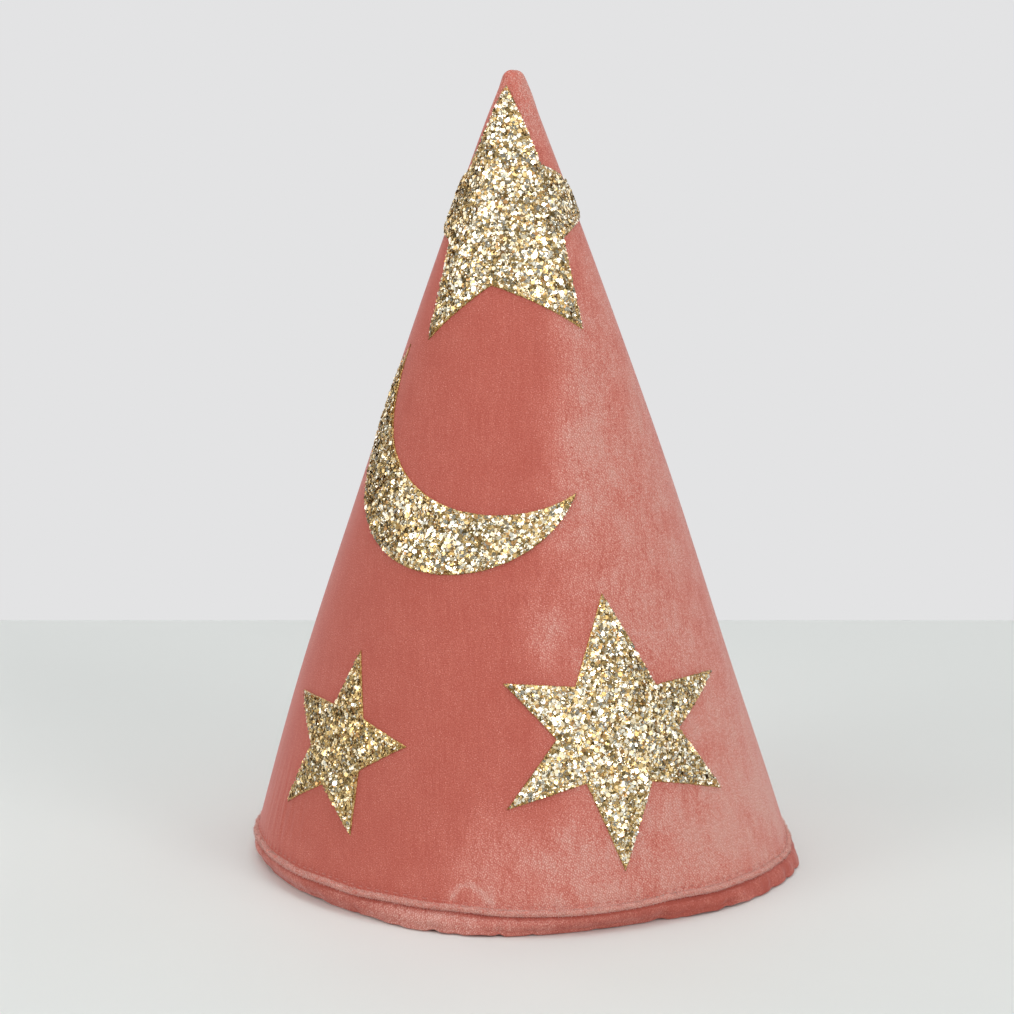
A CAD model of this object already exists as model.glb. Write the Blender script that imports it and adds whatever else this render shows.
import bpy
import math
import numpy as np
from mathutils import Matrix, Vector, noise
from mathutils.geometry import delaunay_2d_cdt


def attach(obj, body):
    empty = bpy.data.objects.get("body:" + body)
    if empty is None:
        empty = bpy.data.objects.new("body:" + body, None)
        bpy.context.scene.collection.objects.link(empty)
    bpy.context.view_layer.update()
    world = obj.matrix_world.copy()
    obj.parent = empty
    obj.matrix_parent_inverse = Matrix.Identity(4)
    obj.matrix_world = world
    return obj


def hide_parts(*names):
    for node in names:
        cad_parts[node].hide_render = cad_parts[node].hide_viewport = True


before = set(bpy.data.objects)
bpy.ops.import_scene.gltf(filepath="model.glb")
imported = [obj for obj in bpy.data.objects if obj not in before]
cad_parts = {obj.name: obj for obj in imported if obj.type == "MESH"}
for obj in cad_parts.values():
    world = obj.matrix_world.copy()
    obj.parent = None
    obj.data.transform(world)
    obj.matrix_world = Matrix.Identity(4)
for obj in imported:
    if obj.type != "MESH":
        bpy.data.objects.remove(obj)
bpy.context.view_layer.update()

scene = bpy.context.scene
scene.view_settings.view_transform = "Standard"
scene.view_settings.look = "None"
scene.view_settings.exposure = 0.0
scene.view_settings.gamma = 1.0

# ----------------------------------------------------------------------------
# The hat's side, in millimetres, as in the CAD: a shallow arc through three
# points of the outer face, and a small ball for the blunt tip. Depth is
# measured square to the outer face, inwards.
SIDE = ((91.90, 8.5), (45.96, 150.0), (5.24, 262.0))
TIP_RADIUS = 4.0
D_VELVET, D_WADDING, D_STIFF, D_LINING, D_BINDING = 1.2, 4.0, 5.2, 5.8, 6.8
LEAN = -2.4                 # the point stands this far to the left of the hem's centre
SEED = 20261


def circle_through(a, b, c):
    (x1, y1), (x2, y2), (x3, y3) = a, b, c
    d = 2 * (x1 * (y2 - y3) + x2 * (y3 - y1) + x3 * (y1 - y2))
    s1, s2, s3 = x1 * x1 + y1 * y1, x2 * x2 + y2 * y2, x3 * x3 + y3 * y3
    ox = (s1 * (y2 - y3) + s2 * (y3 - y1) + s3 * (y1 - y2)) / d
    oy = (s1 * (x3 - x2) + s2 * (x1 - x3) + s3 * (x2 - x1)) / d
    return ox, oy, math.hypot(x1 - ox, y1 - oy)


OX, OZ, SR = circle_through(*SIDE)


def r_at(z, d=0.0):
    return OX + np.sqrt(np.maximum((SR - d) ** 2 - (np.asarray(z, float) - OZ) ** 2, 0.0))


TIP_Z = OZ + math.sqrt((SR - TIP_RADIUS) ** 2 - OX ** 2)
TIP_ANG = math.atan2(TIP_Z - OZ, -OX)
Z_POINT = OZ + math.sqrt(SR ** 2 - OX ** 2)
TIP_TANGENT_Z = TIP_Z + TIP_RADIUS * math.sin(TIP_ANG)

# Hem outline. The rim isn't a true circle: it is pressed a little flat at the
# front left and bellies out at the front and right. Angles from the front.
RIM = np.array([(-180, 93.0), (-160, 93.8), (-140, 93.4), (-120, 92.2), (-105, 92.0), (-93, 91.7),
                (-84, 89.9), (-74, 88.4), (-62, 87.4), (-47, 86.8), (-36, 87.1), (-21, 87.6),
                (-13, 89.2), (-7, 90.5), (-2, 91.4), (4, 92.0), (10, 92.1), (17, 91.2), (25, 89.6),
                (31, 89.4), (37, 90.3), (45, 91.0), (53, 92.0), (62, 92.8), (70, 93.6), (76, 93.8),
                (88, 92.6), (100, 92.0), (120, 92.6), (140, 92.0), (160, 92.4), (180, 93.0)])
FOOT = np.array([(-180, 92.4), (-150, 93.2), (-120, 92.0), (-98, 91.6), (-83, 88.6), (-69, 86.6), (-54, 85.8),
                 (-43, 85.9), (-34, 87.2), (-25, 90.6), (-18, 91.2), (-9, 92.6), (2, 90.2), (12, 88.4),
                 (22, 87.4), (30, 87.4), (38, 89.8), (43, 92.2), (48, 92.5), (55, 94.3), (62, 94.5), (68, 95.4),
                 (76, 96.6), (84, 95.9), (93, 93.2), (104, 92.8), (125, 92.0), (150, 91.8), (180, 92.4)])


def smooth_loop(table, width):
    """A smooth closed curve through a table of (degrees, value)."""
    a = np.arange(-180, 180, 1.0)
    v = np.interp(a, table[:, 0], table[:, 1])
    k = np.exp(-0.5 * (np.arange(-30, 31) / width) ** 2)
    k /= k.sum()
    v = np.convolve(np.r_[v[-30:], v, v[:30]], k, mode="valid")
    return lambda phi: np.interp((np.degrees(phi) + 180) % 360 - 180, np.r_[a, 180], np.r_[v, v[0]])


rim_r = smooth_loop(RIM, 4.5)
foot_r = smooth_loop(FOOT, 2.2)


def rim_shift(phi):
    """Sideways and upward shift of the hem from its true circle."""
    d = rim_r(phi) - 93.2
    return 0.62 * d, -0.30 * 0.38 * d


def soft(phi, z):
    """Slow uneven swelling of the padded side."""
    z = np.asarray(z, float)
    w = np.clip((265 - z) / 120, 0, 1)
    return w * (0.28 * np.sin(2 * phi + 0.6 + z / 61) + 0.22 * np.sin(3 * phi - z / 37 + 1.9)
                + 0.16 * np.sin(5 * phi + z / 23) + 0.10 * np.sin(9 * phi - z / 17 + 0.7))


def place(phi, r, z):
    """Ideal (angle, radius, height) in mm to the hat's real shape in metres."""
    phi, r, z = np.asarray(phi, float), np.asarray(r, float), np.asarray(z, float)
    w = np.exp(-np.maximum(z - 6.0, 0.0) / 30.0)
    dr, dz = rim_shift(phi)
    r2 = r + (dr * w + soft(phi, z) * np.clip(z / 14, 0, 1)) * np.clip(r / 20, 0, 1)
    lean = LEAN * z / 268.0
    return np.stack([(r2 * np.sin(phi) + lean) * 1e-3, -r2 * np.cos(phi) * 1e-3,
                     (z + dz * w * np.clip(z / 6, 0, 1)) * 1e-3], -1)


def on_side(phi, z, depth):
    """Point of the side at this depth, where z is the height of the outer face there."""
    phi, z, depth = np.broadcast_arrays(np.asarray(phi, float), np.asarray(z, float), np.asarray(depth, float))
    zt = np.minimum(z, TIP_TANGENT_Z)
    r0 = r_at(zt)
    nr, nz = (r0 - OX) / SR, (zt - OZ) / SR
    # above the tangent point the normal swings up to the axis
    t = np.clip((z - TIP_TANGENT_Z) / max(1e-9, TIP_Z + TIP_RADIUS - TIP_TANGENT_Z), 0, 1)
    ang = TIP_ANG + (math.pi / 2 - TIP_ANG) * t
    ball = z > TIP_TANGENT_Z
    nr = np.where(ball, np.cos(ang), nr)
    nz = np.where(ball, np.sin(ang), nz)
    r = np.where(ball, TIP_RADIUS * np.cos(ang), r0)
    zz = np.where(ball, TIP_Z + TIP_RADIUS * np.sin(ang), zt)
    return place(phi, np.maximum(r - nr * depth, 0.0), zz - nz * depth)


# Flat pattern: distance from the cone's point, and angle of the sector.
_z = np.linspace(0.0, Z_POINT, 3000)
_s = np.r_[0, np.cumsum(np.hypot(np.diff(_z), np.diff(r_at(_z))))]
S_ALL = _s[-1]


def slant(z):
    return S_ALL - np.interp(z, _z, _s)


def flat_of(phi, z):
    rho = np.maximum(slant(z), 1e-6)
    th = phi * r_at(z) / rho
    return rho * np.sin(th), -rho * np.cos(th)


def motif_to_hat(at, xy):
    """Points of a motif's flat outline to (angle, height) on the hat."""
    xy = np.asarray(xy, float)
    phi0, z0 = math.radians(at[0]), at[1]
    rho0 = float(slant(z0))
    th0 = phi0 * float(r_at(z0)) / rho0
    gx = rho0 * math.sin(th0) + xy[..., 0] * math.cos(th0) - xy[..., 1] * math.sin(th0)
    gy = -rho0 * math.cos(th0) + xy[..., 0] * math.sin(th0) + xy[..., 1] * math.cos(th0)
    rho = np.hypot(gx, gy)
    z = np.interp(S_ALL - rho, _s, _z)
    phi = np.arctan2(gx, -gy) * rho / np.maximum(r_at(z), 1e-6)
    return phi, z


def on_motif(at, xy, depth):
    phi, z = motif_to_hat(at, xy)
    return on_side(phi, z, depth)


# ----------------------------------------------------------------------------
# Mesh helpers
def mesh_object(name, verts, faces, smooth=True, mats=()):
    me = bpy.data.meshes.new(name)
    me.from_pydata([tuple(v) for v in verts], [], faces)
    me.validate()
    me.update()
    ob = bpy.data.objects.new(name, me)
    scene.collection.objects.link(ob)
    for m in mats:
        me.materials.append(m)
    me.polygons.foreach_set("use_smooth", [smooth] * len(me.polygons))
    return ob


def point_attribute(ob, name, values, kind="FLOAT"):
    a = ob.data.attributes.new(name, kind, "POINT")
    key = "value" if kind == "FLOAT" else "vector"
    a.data.foreach_set(key, np.asarray(values, np.float32).ravel())


def ring_faces(rows, n, flip=False):
    """Quads between successive closed rings of n points."""
    faces = []
    for j in range(rows - 1):
        a, b = j * n, (j + 1) * n
        for i in range(n):
            k = (i + 1) % n
            q = (a + i, a + k, b + k, b + i)
            faces.append(q[::-1] if flip else q)
    return faces


def fractal(p, octaves=3):
    return noise.fractal(Vector(p), 1.0, 2.0, octaves, noise_basis="PERLIN_ORIGINAL")


# ----------------------------------------------------------------------------
# Materials
def new_material(name):
    m = bpy.data.materials.new(name)
    m.use_nodes = True
    nt = m.node_tree
    nt.nodes.clear()
    out = nt.nodes.new("ShaderNodeOutputMaterial")
    bsdf = nt.nodes.new("ShaderNodeBsdfPrincipled")
    nt.links.new(bsdf.outputs[0], out.inputs[0])
    return m, nt, bsdf


def srgb(r, g, b):
    def f(c):
        c /= 255.0
        return c / 12.92 if c <= 0.04045 else ((c + 0.055) / 1.055) ** 2.4
    return (f(r), f(g), f(b), 1.0)


class N:
    """Short helpers for node trees."""

    def __init__(self, nt):
        self.nt = nt

    def node(self, kind, **props):
        n = self.nt.nodes.new(kind)
        for k, v in props.items():
            setattr(n, k, v)
        return n

    def put(self, sock, value):
        if hasattr(value, "is_output"):
            self.nt.links.new(value, sock)
        else:
            sock.default_value = value

    def math(self, op, a, b=0.0, c=0.0, clamp=False):
        n = self.node("ShaderNodeMath", operation=op, use_clamp=clamp)
        for i, v in enumerate((a, b, c)):
            if i < len(n.inputs):
                self.put(n.inputs[i], v)
        return n.outputs[0]

    def vmath(self, op, a, b=(0, 0, 0)):
        n = self.node("ShaderNodeVectorMath", operation=op)
        self.put(n.inputs[0], a)
        self.put(n.inputs[1], b)
        return n.outputs[0]

    def attr(self, name, out="Fac"):
        return self.node("ShaderNodeAttribute", attribute_name=name).outputs[out]

    def noise(self, vec, scale, detail=2.0, rough=0.5, dist=0.0):
        n = self.node("ShaderNodeTexNoise")
        self.put(n.inputs["Vector"], vec)
        n.inputs["Scale"].default_value = scale
        n.inputs["Detail"].default_value = detail
        n.inputs["Roughness"].default_value = rough
        n.inputs["Distortion"].default_value = dist
        return n.outputs["Fac"]

    def mapping(self, vec, rot=(0, 0, 0), scale=(1, 1, 1), loc=(0, 0, 0)):
        n = self.node("ShaderNodeMapping")
        self.put(n.inputs["Vector"], vec)
        n.inputs["Rotation"].default_value = rot
        n.inputs["Scale"].default_value = scale
        n.inputs["Location"].default_value = loc
        return n.outputs[0]

    def mix(self, fac, a, b, blend="MIX"):
        n = self.node("ShaderNodeMix", data_type="RGBA", blend_type=blend)
        self.put(n.inputs[0], fac)
        self.put(n.inputs[6], a)
        self.put(n.inputs[7], b)
        return n.outputs[2]

    def ramp(self, fac, stops):
        n = self.node("ShaderNodeMapRange", clamp=True)
        n.interpolation_type = "SMOOTHSTEP"
        self.put(n.inputs[0], fac)
        for k, v in zip((1, 2, 3, 4), stops):
            n.inputs[k].default_value = v
        return n.outputs[0]

    def bump(self, height, strength, distance, normal=None):
        n = self.node("ShaderNodeBump")
        n.inputs["Strength"].default_value = strength
        n.inputs["Distance"].default_value = distance
        self.put(n.inputs["Height"], height)
        if normal is not None:
            self.put(n.inputs["Normal"], normal)
        return n.outputs[0]


def dashes(h, flat, size=0.00060, lean=0.46):
    """Short leaning tufts where the pile catches the light, 0 to 1, from flat cloth coordinates."""
    p = h.mapping(flat, rot=(0, 0, lean), scale=(1.0 / size, 0.78 / size, 1.0))
    v = h.node("ShaderNodeTexVoronoi", feature="F1", voronoi_dimensions="2D")
    h.put(v.inputs["Vector"], p)
    v.inputs["Scale"].default_value = 1.0
    v.inputs["Randomness"].default_value = 0.62
    tone = h.node("ShaderNodeSeparateColor")
    h.put(tone.inputs[0], v.outputs["Color"])
    spot = h.ramp(v.outputs["Distance"], (0.14, 0.44, 1.0, 0.0))
    return h.math("MULTIPLY", spot, h.math("ADD", 0.35, h.math("MULTIPLY", tone.outputs[0], 0.65)))


def velvet_material(name, deep, mid, light, shine, mottle=1.0):
    m, nt, bsdf = new_material(name)
    h = N(nt)
    flat = h.attr("flat", "Vector")
    nap = h.attr("nap")
    # blotches where the pile lies differently, streaks along the pile
    big = h.noise(flat, 85.0, 3.0, 0.58, 0.8)
    blot = h.noise(h.mapping(flat, rot=(0, 0, 0.5), scale=(1.0, 0.42, 1)), 300.0, 4.0, 0.64, 0.5)
    fine = h.noise(h.mapping(flat, rot=(0, 0, 0.5), scale=(1.0, 0.55, 1)), 1150.0, 2.0, 0.6)
    grain = h.noise(flat, 2500.0, 2.0, 0.6)
    # faint lines brushed along the cloth
    brush = h.noise(h.mapping(flat, scale=(1.0, 0.045, 1)), 1500.0, 2.0, 0.5)
    open_ = h.ramp(nap, (-0.05, 0.75, 0.16, 1.0))
    amp = h.math("MULTIPLY", open_, mottle)
    f = h.math("ADD", nap, h.math("MULTIPLY", h.math("SUBTRACT", big, 0.5), h.math("MULTIPLY", amp, 0.75)))
    f = h.math("ADD", f, h.math("MULTIPLY", h.math("SUBTRACT", blot, 0.5), h.math("MULTIPLY", amp, 1.25)))
    f = h.math("ADD", f, h.math("MULTIPLY", h.math("SUBTRACT", fine, 0.5), h.math("MULTIPLY", open_, 1.7)))
    f = h.math("ADD", f, h.math("MULTIPLY", h.math("SUBTRACT", grain, 0.5), h.math("ADD", 1.4, h.math("MULTIPLY", open_, 1.0))))
    f = h.math("ADD", f, h.math("MULTIPLY", h.math("MULTIPLY", h.math("SUBTRACT", brush, 0.5), h.math("ADD", open_, 0.35)), 0.50))
    low = h.ramp(f, (-0.25, 0.45, 0.0, 1.0))
    high = h.ramp(f, (0.20, 1.35, 0.0, 1.0))
    col = h.mix(low, deep, mid)
    col = h.mix(high, col, light)
    dash = dashes(h, flat)
    df = h.math("MULTIPLY", dash, h.math("MULTIPLY", h.ramp(f, (-0.05, 0.80, 0.07, 1.0)), 0.88))
    gap = h.math("MULTIPLY", h.math("SUBTRACT", 1.0, dash), h.math("MULTIPLY", open_, 0.22))
    col = h.mix(gap, col, deep)
    col = h.mix(df, col, shine)
    h.put(bsdf.inputs["Base Color"], col)
    bsdf.inputs["Roughness"].default_value = 0.92
    bsdf.inputs["Specular IOR Level"].default_value = 0.18
    bsdf.inputs["Sheen Weight"].default_value = 0.42
    bsdf.inputs["Sheen Roughness"].default_value = 0.34
    bsdf.inputs["Sheen Tint"].default_value = (1.0, 0.80, 0.80, 1.0)
    height = h.math("ADD", h.math("MULTIPLY", h.math("MULTIPLY", dash, open_), 0.9), h.math("MULTIPLY", grain, 0.55))
    height = h.math("ADD", height, h.math("MULTIPLY", fine, 0.5))
    h.put(bsdf.inputs["Normal"], h.bump(height, 0.40, 0.00028))
    return m


velvet = velvet_material("coral_velvet", srgb(187, 91, 77), srgb(214, 124, 109), srgb(219, 160, 147), srgb(247, 204, 190))
velvet_hem = velvet_material("coral_velvet_hem", srgb(180, 90, 77), srgb(207, 124, 110), srgb(220, 162, 149), srgb(244, 202, 190), 0.6)
velvet_pile = velvet_material("coral_velvet_pile", srgb(206, 134, 120), srgb(224, 162, 148), srgb(238, 194, 182), srgb(250, 218, 208), 0.6)


def cloth_material(name, base, other, thread=0.00042, rough=0.85, bump=0.35):
    """Plain weave from flat cloth coordinates."""
    m, nt, bsdf = new_material(name)
    h = N(nt)
    flat = h.attr("flat", "Vector")
    sep = h.node("ShaderNodeSeparateXYZ")
    h.put(sep.inputs[0], flat)
    a = h.math("SINE", h.math("MULTIPLY", sep.outputs[0], math.pi / thread))
    b = h.math("SINE", h.math("MULTIPLY", sep.outputs[1], math.pi / thread))
    w = h.math("MULTIPLY", a, b)
    wn = h.math("ADD", h.math("MULTIPLY", w, 0.5), 0.5)
    slub = h.noise(h.mapping(flat, scale=(1.0, 0.08, 1)), 900.0, 2.0, 0.5)
    slow = h.noise(flat, 30.0, 3.0, 0.5)
    f = h.math("ADD", h.math("MULTIPLY", wn, 0.45), h.math("MULTIPLY", slub, 0.45))
    f = h.math("ADD", f, h.math("MULTIPLY", h.math("SUBTRACT", slow, 0.5), 0.5), clamp=True)
    h.put(bsdf.inputs["Base Color"], h.mix(f, base, other))
    bsdf.inputs["Roughness"].default_value = rough
    bsdf.inputs["Specular IOR Level"].default_value = 0.25
    bsdf.inputs["Sheen Weight"].default_value = 0.15
    h.put(bsdf.inputs["Normal"], h.bump(h.math("ADD", wn, h.math("MULTIPLY", slub, 0.6)), bump, 0.00015))
    return m


lining_mat = cloth_material("lining_cotton", srgb(176, 96, 84), srgb(206, 132, 118))


def fibre_material(name, base, other, scale=260.0, rough=0.95, bump=0.6):
    m, nt, bsdf = new_material(name)
    h = N(nt)
    tc = h.node("ShaderNodeTexCoord").outputs["Object"]
    a = h.noise(tc, scale, 6.0, 0.7, 1.2)
    b = h.noise(tc, scale * 6, 3.0, 0.6)
    f = h.math("ADD", h.math("MULTIPLY", a, 0.7), h.math("MULTIPLY", b, 0.3))
    h.put(bsdf.inputs["Base Color"], h.mix(h.ramp(f, (0.3, 0.7, 0.0, 1.0)), base, other))
    bsdf.inputs["Roughness"].default_value = rough
    h.put(bsdf.inputs["Normal"], h.bump(f, bump, 0.0004))
    return m


wadding_mat = fibre_material("wadding", srgb(214, 210, 202), srgb(240, 238, 232))
stiff_mat = fibre_material("stiffener", srgb(196, 184, 160), srgb(220, 210, 190), 600.0, 0.8, 0.2)


def thread_material(name, base, other):
    m, nt, bsdf = new_material(name)
    h = N(nt)
    tc = h.node("ShaderNodeTexCoord").outputs["Object"]
    a = h.noise(tc, 2600.0, 3.0, 0.6)
    h.put(bsdf.inputs["Base Color"], h.mix(h.ramp(a, (0.3, 0.7, 0.0, 1.0)), base, other))
    bsdf.inputs["Roughness"].default_value = 0.55
    bsdf.inputs["Sheen Weight"].default_value = 0.3
    h.put(bsdf.inputs["Normal"], h.bump(a, 0.4, 0.0001))
    return m


gold_thread = thread_material("gold_thread", srgb(176, 132, 66), srgb(222, 186, 118))
coral_thread = thread_material("coral_thread", srgb(190, 104, 90), srgb(214, 134, 119))

# Base cloth of the motifs: gold coated canvas with fine glitter dust.
glitter_base, nt, bsdf = new_material("gold_glitter_base")
h = N(nt)
tc = h.node("ShaderNodeTexCoord").outputs["Object"]
v = h.node("ShaderNodeTexVoronoi", feature="F1")
h.put(v.inputs["Vector"], tc)
v.inputs["Scale"].default_value = 2600.0
g1 = h.noise(tc, 700.0, 3.0, 0.6)
sepc = h.node("ShaderNodeSeparateColor")
h.put(sepc.inputs[0], v.outputs["Color"])
c1 = h.mix(h.ramp(sepc.outputs[0], (0.2, 0.8, 0.0, 1.0)), srgb(150, 108, 48), srgb(236, 206, 140))
c1 = h.mix(h.ramp(g1, (0.45, 0.75, 0.0, 0.7)), c1, srgb(180, 112, 44))
h.put(bsdf.inputs["Base Color"], c1)
bsdf.inputs["Metallic"].default_value = 0.85
bsdf.inputs["Roughness"].default_value = 0.38
h.put(bsdf.inputs["Normal"], h.bump(sepc.outputs[1], 0.9, 0.0003))

# Glitter flakes: cut foil in several gold tones.
FLAKES = [("flake_champagne", (1.0, 0.84, 0.55), 0.11, 0.24), ("flake_pale", (1.0, 0.95, 0.79), 0.10, 0.32),
          ("flake_gold", (0.86, 0.62, 0.27), 0.16, 0.14), ("flake_deep", (0.50, 0.33, 0.12), 0.22, 0.15),
          ("flake_bronze", (0.46, 0.25, 0.09), 0.28, 0.06), ("flake_olive", (0.19, 0.13, 0.045), 0.30, 0.09)]
flake_mats, flake_share = [], []
for nm, col, rough, share in FLAKES:
    m, nt, bsdf = new_material(nm)
    bsdf.inputs["Base Color"].default_value = (*col, 1.0)
    bsdf.inputs["Metallic"].default_value = 0.86
    bsdf.inputs["Specular IOR Level"].default_value = 0.8
    bsdf.inputs["Roughness"].default_value = rough
    flake_mats.append(m)
    flake_share.append(share)
flake_share = np.array(flake_share) / sum(flake_share)


# ----------------------------------------------------------------------------
# Nap map: where the pile stands so that it looks light. The right-hand side
# and the lower front are lighter, in soft mottled patches.
def crush_mark(phi, z):
    """A small bent crease of raised pile low on the front."""
    x, best = math.degrees(phi) * 1.6, 9.0
    pts = ((-14.2, 11.2), (-12.8, 15.0), (-11.0, 16.2), (-8.8, 14.4), (-5.9, 10.8))
    for (a, za), (b, zb) in zip(pts, pts[1:]):
        ax, bx = a * 1.6, b * 1.6
        t = ((x - ax) * (bx - ax) + (z - za) * (zb - za)) / ((bx - ax) ** 2 + (zb - za) ** 2)
        t = min(max(t, 0.0), 1.0)
        best = min(best, math.hypot(x - ax - t * (bx - ax), z - za - t * (zb - za)))
    return math.exp(-(best / 0.95) ** 2)


def nap_value(phi, z, flat):
    deg = math.degrees(phi)
    edge = 19.0 if z > 150 else (8.0 + (z - 70) * 11 / 80 if z > 70 else -11.0 + z * 19 / 70)
    edge += 11.0 * fractal((flat[0] * 24, flat[1] * 24, 3.1), 3)
    f = min(max((deg - edge + 13) / 40.0, 0.0), 1.0)
    f = 0.57 * f * f * (3 - 2 * f)
    # fades away round the back, where a second light patch lies low on the left
    back = min(max((deg - 105) / 40.0, 0.0), 1.0)
    f *= 1 - back
    f2 = math.exp(-((deg + 140) / 32.0) ** 2) * min(max((150 - z) / 90.0, 0.0), 1.0) * 0.5
    f = max(f, f2)
    high = min(max((250 - z) / 90.0, 0.15), 1.0)
    f *= 0.55 + 0.45 * high
    # brighter cloud right of centre and along the lower front
    f += 0.36 * math.exp(-(((deg - 26 - (z - 147) * 0.16) / 12.0) ** 2 + ((z - 147) / 24.0) ** 2))
    f += 0.33 * math.exp(-(((deg - 5) / 18.0) ** 2 + ((z - 15) / 15.0) ** 2))
    f += 0.47 * math.exp(-(((deg - 64) / 20.0) ** 2 + ((z - 28) / 24.0) ** 2))
    f += 0.30 * math.exp(-(((deg - 7) / 6.5) ** 2 + ((z - 93) / 9.0) ** 2))
    f += 0.54 * min(max((z - 246) / 16.0, 0.0), 1.0) * (0.75 + 0.25 * math.cos(phi - 0.6))
    n = fractal((flat[0] * 105, flat[1] * 105, 0.4), 4)
    f += (0.05 + 0.50 * min(f, 0.8)) * n
    if z < 30 and -24 < deg < 4:
        f += 0.75 * crush_mark(phi, z)
    return f


# ----------------------------------------------------------------------------
# Outer velvet shell
HEM_STITCH_Z = 9.95
NU = 720
phi_ring = -math.pi + (np.arange(NU) + 0.5) * 2 * math.pi / NU
stitch_count = 159


def pucker(phi):
    """Little swellings between the stitches of the hem, -1 to 1."""
    return np.sin(phi * stitch_count)


def seam_profile(phi, z):
    """Depth of the centre back seam: a narrow groove with a slight swell each side."""
    s = (np.pi - np.abs(phi)) * r_at(np.minimum(z, 262.0))
    pull = 1 + 0.35 * np.sin(z / 1.9)
    return 0.75 * np.exp(-(s / 0.8) ** 2) - 0.22 * pull * np.exp(-((s - 2.6) / 1.5) ** 2)


rng = np.random.default_rng(SEED)


def loop_noise(phi, freq, seed, amp):
    """Smooth random wobble round the hat."""
    r = np.random.default_rng(seed)
    v = np.zeros_like(phi)
    for k in range(6):
        f = max(1, int(freq * (0.5 + 1.1 * k / 5)))
        v = v + np.sin(f * phi + r.uniform(0, 6.28)) * r.uniform(0.4, 1.0)
    return amp * v / 2.6


rows, row_z, row_flat_z = [], [], []
# rolled edge: (depth, height) round a flattened half circle from inside to crest
roll = []
for k in range(15):
    a = math.radians(-118 + k * 208 / 14)          # from underneath, round the crest, to the groove
    roll.append((0.35 - 1.20 * math.cos(a), 7.75 + 1.02 * math.sin(a)))
wob_roll = loop_noise(phi_ring, 60, 3, 0.16) + loop_noise(phi_ring, 150, 4, 0.09)
roll_size = 1 + loop_noise(phi_ring, 22, 5, 0.13)
roll_z = loop_noise(phi_ring, 14, 6, 0.30) - 1.5 * np.exp(-((np.degrees(phi_ring) - 84) / 24.0) ** 2)
for d, z in roll:
    crest = max(0.0, 0.35 - d) / 1.4
    dd = np.full(NU, d) - crest * (0.22 * pucker(phi_ring) + wob_roll + 1.2 * (roll_size - 1))
    zz = np.full(NU, z) + roll_z + 0.10 * crest * np.cos(phi_ring * stitch_count * 0.5)
    rows.append((dd, zz))
# stitched groove above the roll, then the side
for z, g in ((9.15, 0.34), (9.55, 0.50), (9.95, 0.54), (10.4, 0.42), (11.0, 0.22), (11.9, 0.06), (13.2, 0.0)):
    dent = g * (0.62 + 0.38 * np.cos(phi_ring * stitch_count))
    rows.append((dent, np.full(NU, z) + roll_z * max(0.0, (13.2 - z) / 3.5)))
zs = list(np.arange(14.3, 25.0, 1.15)) + list(np.linspace(26.2, 258.0, 70)) + [260.5, 262.6, 264.4, TIP_TANGENT_Z]
for z in zs:
    d = seam_profile(phi_ring, z)
    # fine upright creases low on the left of the front
    w = math.exp(-((z - 24) / 16.0) ** 2)
    deg = np.degrees(phi_ring)
    crease = np.exp(-((deg + 68) / 13.0) ** 2) * w
    d = d + 0.24 * min(max((z - 250) / 10.0, 0.0), 1.0) * (np.sin(3 * phi_ring + 0.8) + 0.7 * np.sin(5 * phi_ring + 2.1 - z / 3.0))
    d = d - crease * (0.085 * np.sin(phi_ring * 171 + z / 7.0) * (0.6 + 0.4 * np.sin(phi_ring * 37 + z / 11.0)) + 0.08 * np.sin(phi_ring * 97 - z / 9.0))
    rows.append((d, np.full(NU, z)))
for k in range(1, 8):
    t = k / 8.0
    lump = 0.26 * np.sin(3 * phi_ring + 0.8) * (1 - t) + 0.20 * np.sin(5 * phi_ring + 2.1 + 2 * t) * (1 - t) + 0.30 * t ** 2 + 0.18 * (1 - t) * np.sin(phi_ring)
    rows.append((lump, np.full(NU, TIP_TANGENT_Z + (TIP_Z + TIP_RADIUS - TIP_TANGENT_Z) * t)))

verts, nap, flat = [], [], []


def add_row(dd, zz, seen=True):
    p = on_side(phi_ring, zz, dd)
    verts.append(p)
    zc = np.clip(zz, 0.0, Z_POINT - 0.5)
    fx, fy = flat_of(phi_ring, zc)
    fl = np.stack([fx, fy + np.zeros(NU), np.zeros(NU)], -1) * 1e-3
    flat.append(fl)
    if seen:
        nap.append(np.array([nap_value(a, float(b), c) for a, b, c in zip(phi_ring, zz, fl)]))
    else:
        nap.append(np.full(NU, 0.2))


for i, (dd, zz) in enumerate(rows):
    add_row(dd, zz)
    if i < 15:                       # the rolled edge shows its pile, so it looks lighter
        nap[-1] = nap[-1] * 0.30 + 0.78 + 0.30 * np.array([fractal((math.cos(a) * 30, math.sin(a) * 30, i * 0.3), 2) for a in phi_ring])
n_out = len(rows)
# inner face, from the tip down
inner = [TIP_TANGENT_Z, 262.0, 250.0, 200.0, 150.0, 100.0, 60.0, 30.0, 12.0, 7.0]
inner_rows = [(np.full(NU, D_VELVET), np.full(NU, z)) for z in inner]
V = []
for i in range(n_out):
    V.append(verts[i])
top_out = len(V) * NU
allv = np.concatenate(V)
faces = ring_faces(n_out, NU)
top = on_side(np.array([0.0]), np.array([TIP_Z + TIP_RADIUS]), np.array([0.42]))
iv = []
for dd, zz in inner_rows:
    iv.append(on_side(phi_ring, zz, dd))
    fx, fy = flat_of(phi_ring, zz)
    flat.append(np.stack([fx, fy, np.zeros(NU)], -1) * 1e-3)
    nap.append(np.full(NU, 0.2))
base = len(allv)
allv = np.concatenate([allv, top, *iv])
tip_out = base
last = (n_out - 1) * NU
for i in range(NU):
    faces.append((last + i, last + (i + 1) % NU, tip_out))
in0 = base + 1
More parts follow.
